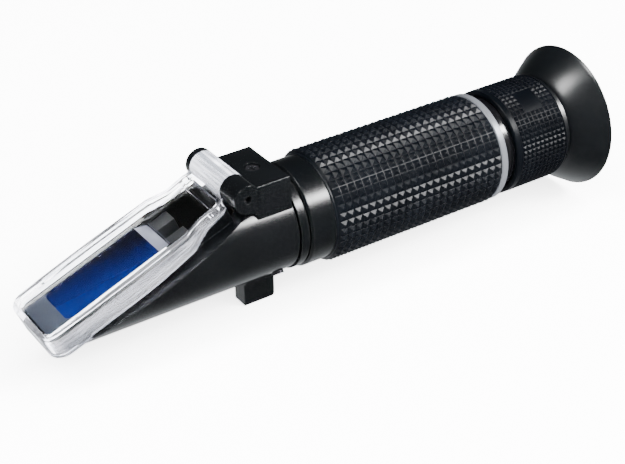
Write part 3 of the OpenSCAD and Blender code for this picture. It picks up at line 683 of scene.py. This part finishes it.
@dataclass
class Knurling:
    """Pyramids in rows round the optical axis, laid by Geometry Nodes on a turned core.

    Attributes:
        name: name of the piece.
        node: the solid that it stands for.
        body: the body that it moves with.
        slot: the record's material slot.
        finish: its finish.
        start_mm: station of the first row's edge.
        length_mm: length of the rows.
        root_mm: radius at the foot of the pyramids.
        tooth_mm: height of the pyramids.
        rows: number of rows.
        around: number of pyramids in a row.
        core: profile of the core, as (station, radius) in mm.
        blank: rows and columns without pyramids, as (first row, rows, first column, columns).
        tip: width of a pyramid's flat tip, as a share of its foot.
        groove: width of the flat between pyramids, as a share of the pitch.
    """

    name: str
    node: str
    body: str
    # slot: the record's material slot; not used.
    slot: str
    finish: Finish
    start_mm: float
    length_mm: float
    root_mm: float
    tooth_mm: float
    rows: int
    around: int
    core: Profile
    blank: tuple[int, int, int, int] = (0, 0, 0, 0)
    tip: float = 0.1
    groove: float = 0.06

    def tree(self) -> bpy.types.GeometryNodeTree:
        """Build the node tree that lays the pyramids.

        Returns:
            The tree, with a named input for each size.
        """
        tree = bpy.data.node_groups.new(self.name + "_studs", "GeometryNodeTree")
        self.declare(tree)
        w = Wiring(tree)
        given = w.add("NodeGroupInput").outputs
        index = w.add("GeometryNodeInputIndex").outputs[0]
        row = w.math("FLOOR", w.math("DIVIDE", w.math("ADD", index, 0.5), given["Around"]))
        column = w.math("SUBTRACT", index, w.math("MULTIPLY", row, given["Around"]))
        step = w.math("DIVIDE", math.tau, given["Around"])
        angle = w.math("MULTIPLY", w.math("ADD", column, 0.5), step)
        along = w.math("MULTIPLY_ADD", w.math("ADD", row, 0.5), given["Pitch"], given["Start"])
        y = w.math("MULTIPLY", w.math("COSINE", angle), given["Root"])
        z = w.math("MULTIPLY_ADD", w.math("SINE", angle), given["Root"], given["Height of axis"])
        count = w.math("MULTIPLY", given["Rows"], given["Around"])
        points = w.add(
            "GeometryNodePoints", {"Count": count, "Position": w.xyz(along, y, z)}
        ).outputs[0]
        bare = w.math(
            "MULTIPLY",
            self.within(w, row, given["Blank row"], given["Blank rows"]),
            self.within(w, column, given["Blank column"], given["Blank columns"]),
        )
        laid = w.add("GeometryNodeInstanceOnPoints", {
            "Points": points,
            "Selection": w.math("SUBTRACT", 1.0, bare),
            "Instance": self.stud(w, given),
            "Rotation": w.xyz(w.math("SUBTRACT", angle, math.pi / 2)),
        }).outputs[0]
        real = w.add("GeometryNodeRealizeInstances", {0: laid}).outputs[0]
        flat = w.add("GeometryNodeSetShadeSmooth", {"Geometry": real, "Shade Smooth": False})
        joined = w.add("GeometryNodeJoinGeometry")
        tree.links.new(flat.outputs[0], joined.inputs[0])
        tree.links.new(given["Core"], joined.inputs[0])
        dressed = w.add("GeometryNodeSetMaterial", {"Geometry": joined.outputs[0]})
        dressed.inputs["Material"].default_value = self.finish.material()
        w.add("NodeGroupOutput", {0: dressed.outputs[0]})
        return tree

    @staticmethod
    def declare(tree: bpy.types.GeometryNodeTree) -> None:
        """Give the tree its named inputs and its output."""
        face = tree.interface
        face.new_socket("Core", in_out="INPUT", socket_type="NodeSocketGeometry")
        for label in (
            "Start", "Pitch", "Root", "Tooth", "Foot along", "Foot around", "Height of axis",
        ):
            face.new_socket(label, in_out="INPUT", socket_type="NodeSocketFloat")
        for label in (
            "Rows", "Around", "Blank row", "Blank rows", "Blank column", "Blank columns",
        ):
            face.new_socket(label, in_out="INPUT", socket_type="NodeSocketInt")
        face.new_socket("Geometry", in_out="OUTPUT", socket_type="NodeSocketGeometry")

    @staticmethod
    def within(w: Wiring, value: Socket, first: Socket, count: Socket) -> Socket:
        """Return 1 where a whole number lies in a span of whole numbers."""
        offset = w.math("SUBTRACT", value, first)
        above = w.math("GREATER_THAN", offset, -0.5)
        below = w.math("LESS_THAN", offset, w.math("SUBTRACT", count, 0.5))
        return w.math("MULTIPLY", above, below)

    def stud(self, w: Wiring, given: bpy.types.NodeOutputs) -> Socket:
        """Build one pyramid with a flat tip.

        Args:
            w: the tree's builder.
            given: the tree's named inputs.

        Returns:
            The pyramid's geometry, standing on its foot.
        """
        unit = w.add("GeometryNodeMeshCone", {
            "Vertices": 4, "Side Segments": 1, "Radius Top": self.tip / math.sqrt(2.0),
            "Radius Bottom": 1.0 / math.sqrt(2.0), "Depth": 1.0,
        }, fill_type="NGON").outputs[0]
        size = w.xyz(given["Foot along"], given["Foot around"], given["Tooth"])
        square = w.add(
            "GeometryNodeTransform", {"Geometry": unit, "Rotation": (0, 0, math.pi / 4)}
        ).outputs[0]
        return w.add("GeometryNodeTransform", {"Geometry": square, "Scale": size}).outputs[0]

    def make(self) -> bpy.types.Object:
        """Build the piece, as a plain mesh.

        Returns:
            The piece, riding on its body.
        """
        core_name = self.name + "_core"
        core = new_piece(core_name, turned_mesh(core_name, self.core), self.finish)
        tree = self.tree()
        laying = core.modifiers.new("studs", "NODES")
        laying.node_group = tree
        pitch = self.length_mm / self.rows
        wide = math.tau * self.root_mm / self.around
        values = {
            "Start": station(self.start_mm), "Pitch": pitch * MM, "Root": self.root_mm * MM,
            "Tooth": self.tooth_mm * MM, "Foot along": pitch * (1 - self.groove) * MM,
            "Foot around": wide * (1 - self.groove) * MM, "Height of axis": AXIS_HEIGHT,
            "Rows": self.rows, "Around": self.around,
            "Blank row": self.blank[0], "Blank rows": self.blank[1],
            "Blank column": self.blank[2], "Blank columns": self.blank[3],
        }
        for item in tree.interface.items_tree:
            if item.in_out == "INPUT" and item.name in values:
                laying[item.identifier] = values[item.name]
        bpy.context.view_layer.update()
        depsgraph = bpy.context.evaluated_depsgraph_get()
        mesh = bpy.data.meshes.new_from_object(core.evaluated_get(depsgraph))
        core.modifiers.remove(laying)
        bpy.data.objects.remove(core)
        piece = new_piece(self.name, mesh, self.finish)
        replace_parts(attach(piece, self.body), self.node)
        return piece


@dataclass(frozen=True)
class Softbox:
    """A soft rectangular light aimed at the object.

    Attributes:
        name: name of the light.
        place: where it stands, in metres.
        size: its width and height, in metres.
        power: its power, in watts.
        mirrored: whether shiny surfaces mirror it.
    """

    name: str
    place: Place
    size: tuple[float, float]
    power: float
    mirrored: bool = True

    def make(self, target: Vector) -> bpy.types.Object:
        """Build the light.

        Args:
            target: the point that it is aimed at.

        Returns:
            The light.
        """
        light = bpy.data.lights.new(self.name, "AREA")
        light.shape = "RECTANGLE"
        light.size, light.size_y = self.size
        light.energy = self.power
        lamp = bpy.data.objects.new(self.name, light)
        bpy.context.scene.collection.objects.link(lamp)
        lamp.location = self.place
        lamp.visible_glossy = self.mirrored
        lamp.visible_transmission = not self.mirrored
        lamp.rotation_mode = "QUATERNION"
        lamp.rotation_quaternion = (target - Vector(self.place)).to_track_quat("-Z", "Y")
        return lamp


SOFTBOXES = (
    Softbox("key", (0.56, -0.585, 0.67), (0.34, 0.22), 26.0),
    Softbox("side", (-0.46, -0.02, 0.87), (0.26, 0.44), 9.0),
    Softbox("wash", (0.0, -1.4, 2.0), (8.0, 5.0), 2100.0, mirrored=False),
)


@dataclass
class Stage:
    """Floor, lights and camera.

    Attributes:
        azimuth: camera's azimuth, in degrees.
        elevation: camera's elevation, in degrees.
        roll: camera's roll, in degrees.
        distance: distance from the target, in metres.
        sensor: width of the sensor, in mm.
        lens: focal length, in mm.
        target: point that the camera is set from.
        shift: sideways and upward offset of the camera, in metres.
        room_tone: colour of the room.
        room_back: brightness of the room behind the object.
        room_front: how much brighter the room is in front.
        floor_glow: brightness that shiny sides mirror from the floor behind.
        glow_edge: how far in front of the object that brightness still starts.
        floor_span: half width of the floor, in metres.
        floor_drop: depth of the floor under the foot, in metres.
        floor_tone: colour of the floor.
        table_glow: light that the floor gives off by itself, as a light table does.
    """

    azimuth: float = -33.16
    elevation: float = 31.95
    roll: float = -1.18
    distance: float = 394.27 * MM
    sensor: float = 36.0
    lens: float = 1590.85 * 36.0 / 625.0
    target: Vector = field(default_factory=lambda: Vector((-4.6 * MM, 0.0, AXIS_HEIGHT)))
    shift: tuple[float, float] = (2.46 * MM, -6.02 * MM)
    room_tone: Colour = (0.93, 0.97, 1.0)
    room_back: float = 0.05
    room_front: float = 0.12
    floor_glow: float = 1.3
    glow_edge: float = 0.45
    floor_span: float = 12.0
    floor_drop: float = 0.0002
    floor_tone: Colour = (0.93, 0.93, 0.93)
    table_glow: float = 3.0

    def make(self) -> None:
        """Build the floor, the lights and the camera."""
        self.make_camera()
        self.make_floor()
        self.make_room()
        for box in SOFTBOXES:
            box.make(self.target)

    def make_camera(self) -> None:
        """Build the camera from its fitted angles."""
        a, e, roll = (math.radians(v) for v in (self.azimuth, self.elevation, self.roll))
        back = Vector((math.sin(a) * math.cos(e), -math.cos(a) * math.cos(e), math.sin(e)))
        right = (-back).cross(Vector((0, 0, 1))).normalized()
        up = right.cross(-back)
        right, up = (
            right * math.cos(roll) + up * math.sin(roll),
            up * math.cos(roll) - right * math.sin(roll),
        )
        camera = bpy.data.objects.new("camera", bpy.data.cameras.new("camera"))
        bpy.context.scene.collection.objects.link(camera)
        camera.data.lens = self.lens
        camera.data.sensor_width = self.sensor
        camera.data.clip_start = 0.01
        place = self.target + back * self.distance + right * self.shift[0] + up * self.shift[1]
        turn = Matrix((right, up, back)).transposed().to_4x4()
        camera.matrix_world = Matrix.Translation(place) @ turn
        bpy.context.scene.camera = camera

    def make_floor(self) -> None:
        """Build the pale floor."""
        mesh = bpy.data.meshes.new("floor")
        span = self.floor_span
        corners = [(-span, -span, 0), (span, -span, 0), (span, span, 0), (-span, span, 0)]
        mesh.from_pydata(corners, [], [(0, 1, 2, 3)])
        paint = bpy.data.materials.new("pale_floor")
        paint.use_nodes = True
        given = paint.node_tree.nodes["Principled BSDF"].inputs
        given["Base Color"].default_value = (*self.floor_tone, 1.0)
        given["Roughness"].default_value = 0.9
        given["Emission Color"].default_value = (1.0, 1.0, 1.0, 1.0)
        given["Emission Strength"].default_value = self.table_glow
        mesh.materials.append(paint)
        floor = bpy.data.objects.new("floor", mesh)
        bpy.context.scene.collection.objects.link(floor)
        floor.location.z = -self.floor_drop
        floor.visible_glossy = False

    def make_room(self) -> None:
        """Build the world, brighter in front and where the floor behind would be mirrored."""
        world = bpy.data.worlds.new("studio")
        bpy.context.scene.world = world
        world.use_nodes = True
        world.node_tree.nodes.clear()
        room = Wiring(world.node_tree)
        aim = room.add("ShaderNodeTexCoord").outputs["Generated"]
        aim = room.add("ShaderNodeSeparateXYZ", {0: aim}).outputs
        front = room.math("MAXIMUM", room.math("MULTIPLY", aim["Y"], -1.0))
        strength = room.math("MULTIPLY_ADD", front, self.room_front, self.room_back)
        down = room.math("MAXIMUM", room.math("MULTIPLY", aim["Z"], -1.0))
        behind = room.math("MAXIMUM", room.math("ADD", aim["Y"], self.glow_edge))
        behind = room.math("MULTIPLY", down, behind)
        glow = room.math("MULTIPLY_ADD", behind, self.floor_glow, strength)
        shade = room.add(
            "ShaderNodeBackground", {"Color": (*self.room_tone, 1.0), "Strength": glow}
        )
        room.add("ShaderNodeOutputWorld", {"Surface": shade.outputs[0]})


@dataclass
class FrontHousing:
    """The casting, the prism and what holds them.

    Attributes:
        prism: finish of the prism.
        backing: finish of the sheet under it.
    """

    prism: PrismFinish = PrismFinish()
    backing: Finish = Finish("backing_blue", (0.01, 0.03, 0.2), 0.3)

    def make(self) -> None:
        """Dress the housing's solids."""
        dress("prism_housing", CASTING)
        dress("prism", self.prism)
        dress("prism_backing", self.backing)
        dress("prism_seal", COMPOUND)
        dress("prism_lugs", LUG_PAINT)
        dress("hinge_pin", PIN_STEEL)
        dress_all(BLACK_STEEL, "lock_screws", "calibration_screw")
        dress("screw_pad", IVORY)
        dress_all(STEEL, "strip_clamp", "strip_clamp_screw")
        dress("bimetal_strip", TWO_METAL)
        dress_all(INNER_BLACK, "objective_cell", "objective_retainer", "aperture_stop")
        dress("body_o_ring", SEAL_RUBBER)
        dress("lock_ring", TUBE_PAINT)
        dress_all(LENS_GLASS, "flint_lens", "crown_lens")


@dataclass
class DaylightPlate:
    """The clear plate that shuts over the prism.

    Heights are off the prism face and places are up the slope, both in mm.

    Attributes:
        sheet_top: height of the sheet's top.
        sheet_low: height of the sheet's underside.
        under: height under which a corner belongs to the skirt.
        rim_top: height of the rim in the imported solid.
        rim_low: height that the moulded rim really has.
        fade_end: place where the lower rim has risen back to the solid's.
        fade_run: length over which it rises.
        bottom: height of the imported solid's skirt.
        edge: the skirt's moulded lower edge, as (place, height).
        front_wall: place where the front wall ends.
        inner_half: half of the width between the long walls.
        outer_half: half of the width over the long walls.
        bulge: how far the long walls bow outwards at their middle.
        bow_end: place where they stop bowing.
        barrel: place where the link and the barrel start, which keep their shape.
        slices: number of slices that the plate is cut into.
        pitch: length of a slice.
        extra_cuts: places of further cuts.
        weld_mm: corners nearer to each other than this are merged.
        hair_mm: lengths under this count as none.
        sharp_deg: edges that turn by more than this stay sharp.
    """

    sheet_top: float = 2.2
    sheet_low: float = 0.9
    under: float = 0.8
    rim_top: float = 3.4
    rim_low: float = 2.75
    fade_end: float = 52.0
    fade_run: float = 4.0
    bottom: float = -3.8
    edge: Profile = (
        (0.0, -3.9), (9.4, -3.9), (10.0, -3.2), (30.0, -3.1), (40.0, -2.2), (46.0, -0.6),
        (53.0, 0.7),
    )
    front_wall: float = 1.3
    inner_half: float = 7.1
    outer_half: float = 9.9
    bulge: float = 0.42
    bow_end: float = 42.0
    barrel: float = 53.0
    slices: int = 24
    pitch: float = 2.0
    extra_cuts: tuple[float, ...] = (9.4, 10.0)
    weld_mm: float = 0.002
    hair_mm: float = 0.001
    sharp_deg: float = 28.0

    def make(self) -> bpy.types.Object:
        """Shape and dress the plate.

        Returns:
            The plate, riding on its own body.
        """
        mesh = bpy.data.meshes.new("plate_moulded")
        work = bmesh.new()
        work.from_mesh(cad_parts["daylight_plate"].data)
        bmesh.ops.remove_doubles(work, verts=work.verts, dist=self.weld_mm * MM)
        slope = Slope()
        for place in (*(self.pitch * k for k in range(1, self.slices)), *self.extra_cuts):
            bmesh.ops.bisect_plane(
                work, geom=[*work.verts, *work.edges, *work.faces], dist=self.hair_mm * MM,
                plane_co=slope.point(place, 0.0), plane_no=slope.up(),
            )
        for vert in work.verts:
            up, off = slope.measure(vert.co)
            side = vert.co.y / MM
            vert.co = slope.point(up, self.new_height(up, off, side), self.new_side(up, side))
        bmesh.ops.dissolve_degenerate(work, edges=work.edges, dist=self.hair_mm * MM)
        shade_and_close(work, mesh, self.sharp_deg)
        piece = new_piece("plate_moulded", mesh, AcrylicFinish())
        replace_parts(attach(piece, "plate"), "daylight_plate")
        return piece

    def new_height(self, up: float, off: float, side: float) -> float:
        """Return the new height of a corner of the solid.

        Args:
            up: its place.
            off: its height.
            side: its distance from the middle, in mm.

        Returns:
            The height after the rim is lowered and the skirt's edge is laid.
        """
        if up > self.barrel:
            return off
        if off > self.sheet_top:
            fade = min(max((self.fade_end - up) / self.fade_run, 0.0), 1.0)
            share = (off - self.sheet_top) / (self.rim_top - self.sheet_top)
            return off + fade * share * (self.rim_low - self.rim_top)
        if off < self.under and (abs(side) > self.inner_half or up < self.front_wall):
            share = (off - self.sheet_low) / (self.bottom - self.sheet_low)
            return self.sheet_low + share * (self.lower_edge(up) - self.sheet_low)
        return off

    def new_side(self, up: float, side: float) -> float:
        """Return a corner's new distance from the middle, in mm."""
        if abs(side) < self.inner_half or up > self.bow_end:
            return side
        bow = math.sin(math.pi * min(max(up, 0.0), self.bow_end) / self.bow_end)
        return side * (1.0 + self.bulge / self.outer_half * bow)

    def lower_edge(self, up: float) -> float:
        """Return the height of the skirt's lower edge."""
        for (a, low), (b, high) in zip(self.edge, self.edge[1:]):
            if up <= b:
                return low + (high - low) * min(max((up - a) / (b - a), 0.0), 1.0)
        return self.edge[-1][1]


@dataclass
class GripTube:
    """The tube, its knurled grip and its bright ring.

    Attributes:
        start_mm: station of the grip's front.
        lip_mm: length of the smooth lip in front.
        length_mm: length of the grip.
        bore_mm: radius of its bore.
        root_mm: radius at the foot of the pyramids.
        tooth_mm: height of the pyramids.
        lip_r_mm: radius of the lip.
        rows: number of rows of pyramids.
        around: number of pyramids in a row.
    """

    start_mm: float = 76.8
    lip_mm: float = 0.8
    length_mm: float = 51.1
    bore_mm: float = 12.25
    root_mm: float = 14.04
    tooth_mm: float = 0.6
    lip_r_mm: float = 13.7
    rows: int = 23
    around: int = 42

    def make(self) -> None:
        """Make the grip and dress the tube."""
        dress("main_tube", TUBE_PAINT)
        dress("trim_ring", BRIGHT_RING)
        dress_all(INNER_BLACK, "tube_baffles", "reticle_cell", "reticle_retainer")
        dress("reticle", LENS_GLASS)
        front, rear = self.start_mm, self.start_mm + self.length_mm - 0.02
        lip_end, lip_r, root = front + self.lip_mm, self.lip_r_mm, self.root_mm
        core = [
            (front, self.bore_mm), (front, lip_r - 0.3), (front + 0.08, lip_r - 0.1),
            (front + 0.25, lip_r), (lip_end - 0.25, lip_r), (lip_end - 0.05, root - 0.15),
            (lip_end + 0.1, root), (rear, root), (rear, self.bore_mm),
        ]
        Knurling(
            "grip_sleeve_knurled", "grip_sleeve", "frame", "black_grip", GRIP_RUBBER,
            lip_end, rear - lip_end, root, self.tooth_mm, self.rows, self.around, core,
        ).make()


@dataclass
class Eyepiece:
    """The neck, the focus ring, the optics and the eyecup.

    Attributes:
        ring_start_mm: station of the focus ring's front.
        ring_end_mm: station of its rear.
        step_mm: station of the step in its bore.
        bore_mm: radius of the bore in front of the step.
        seat_mm: radius of the bore behind the step and in the eyecup.
        rim_mm: length of the smooth rim in front.
        rear_rim_mm: length of the smooth rim behind.
        root_mm: radius at the foot of the pyramids.
        tooth_mm: height of the pyramids.
        rows: number of rows of pyramids.
        around: number of pyramids in a row.
        blank: the smooth pad, as (first row, rows, first column, columns).
        cup_start_mm: station of the eyecup's front.
        cup_neck_mm: station where it starts to flare.
        cup_end_mm: station of its rear.
        cup_neck_r_mm: radius of its neck.
        cup_rim_r_mm: radius of its rim.
        cup_wall_mm: thickness of its wall.
        cup_floor_mm: station of the floor of its bore.
        cup_eye_mm: radius of the opening for the eye lens.
        cup_steps: number of steps round it.
        cup_rings: number of steps along its flare.
    """

    ring_start_mm: float = 133.2
    ring_end_mm: float = 149.98
    step_mm: float = 137.42
    bore_mm: float = 12.95
    seat_mm: float = 11.65
    rim_mm: float = 2.0
    rear_rim_mm: float = 0.3
    root_mm: float = 13.86
    tooth_mm: float = 0.32
    rows: int = 10
    around: int = 64
    blank: tuple[int, int, int, int] = (3, 4, 18, 5)
    cup_start_mm: float = 150.0
    cup_neck_mm: float = 151.8
    cup_end_mm: float = 160.8
    cup_neck_r_mm: float = 13.1
    cup_rim_r_mm: float = 19.4
    cup_wall_mm: float = 1.4
    cup_floor_mm: float = 151.25
    cup_eye_mm: float = 8.1
    cup_steps: int = 160
    cup_rings: int = 28

    def make(self) -> None:
        """Make the knurled ring and the eyecup, and dress the rest."""
        dress("eyepiece_mount", GLOSS_BLACK)
        dress("focus_stop_screw", STEEL)
        dress("focus_o_ring", SEAL_RUBBER)
        dress("eyepiece_barrel", TUBE_PAINT)
        dress_all(INNER_BLACK, "lens_spacer", "eye_lens_retainer")
        dress_all(LENS_GLASS, "field_lens", "eye_lens")
        self.make_ring()
        self.make_eyecup()

    def make_ring(self) -> bpy.types.Object:
        """Make the focus ring.

        Returns:
            The ring, riding on the eyepiece.
        """
        a, b, r = self.ring_start_mm, self.ring_end_mm, self.root_mm
        knurl_a, knurl_b = a + self.rim_mm, b + 0.02 - self.rear_rim_mm
        core = [
            (a, self.bore_mm), (a, r - 0.1), (a + 0.12, r + 0.1), (a + 0.35, r + 0.24),
            (knurl_a - 0.2, r + 0.24), (knurl_a, r + 0.1), (knurl_a, r), (knurl_b, r),
            (knurl_b, r + 0.05), (knurl_b + 0.08, r + 0.14), (b - 0.08, r + 0.14), (b, r + 0.05),
            (b, self.seat_mm), (self.step_mm, self.seat_mm), (self.step_mm, self.bore_mm),
        ]
        return Knurling(
            "focus_ring_knurled", "focus_ring", "eyepiece", "black_grip", FOCUS_RUBBER,
            knurl_a, knurl_b - knurl_a, r, self.tooth_mm, self.rows, self.around, core,
            blank=self.blank, groove=0.1,
        ).make()

    def make_eyecup(self) -> bpy.types.Object:
        """Make the flared eyecup.

        Returns:
            The eyecup, riding on the eyepiece.
        """
        neck, end, start = self.cup_neck_mm, self.cup_end_mm, self.cup_start_mm
        rim, neck_r, wall = self.cup_rim_r_mm, self.cup_neck_r_mm, self.cup_wall_mm
        flare, run, count = rim - neck_r, end - neck, self.cup_rings
        outside = [
            (neck + t * run, neck_r - 0.2 + (flare + 0.2) * t**0.72)
            for t in ((i / count) ** 1.4 for i in range(count + 1))
        ]
        inside = [
            (neck + 1 + t * (run - 1), neck_r - wall + (flare - 0.3) * t**0.78)
            for t in ((i / count) ** 1.2 for i in range(count, -1, -1))
        ]
        outside[-1] = (end - 0.25, rim - 0.02)
        lip = [(end - 0.08, rim), (end, rim - 0.12), (end, inside[0][1] + 0.15)]
        inside[0] = (end - 0.15, inside[0][1])
        eye, floor = self.cup_eye_mm, self.cup_floor_mm
        profile = [
            (start, self.seat_mm), (start, neck_r - 0.15), (start + 0.15, neck_r),
            (neck - 0.1, neck_r), *outside, *lip, *inside, (neck + 1, eye), (floor, eye),
            (floor, self.seat_mm),
        ]
        mesh = turned_mesh("eyecup_flared", profile, self.cup_steps, 40.0)
        self.raise_mould_lines(mesh)
        piece = new_piece("eyecup_flared", mesh, EYECUP_RUBBER)
        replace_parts(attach(piece, "eyepiece"), "eyecup")
        return piece

    def raise_mould_lines(self, mesh: bpy.types.Mesh) -> None:
        """Raise the two lines that the halves of the mould leave along the eyecup's outside."""
        for angle_deg in (164.0, 344.0):
            column = round(angle_deg / 360.0 * self.cup_steps)
            for ring in range(5, self.cup_rings + 3):
                point = mesh.vertices[ring * self.cup_steps + column].co
                if point.x > station(self.cup_neck_mm + 0.3):
                    point.y *= 1.006
                    point.z = AXIS_HEIGHT + (point.z - AXIS_HEIGHT) * 1.006


def main() -> None:
    """Build every sub-assembly in order."""
    logging.basicConfig(level=logging.INFO, format="%(message)s")
    steps: Sequence[Callable[[], None]] = (
        Stage().make, FrontHousing().make, DaylightPlate().make, GripTube().make,
        Eyepiece().make,
    )
    for step in steps:
        step()


if __name__ == "__main__":
    main()
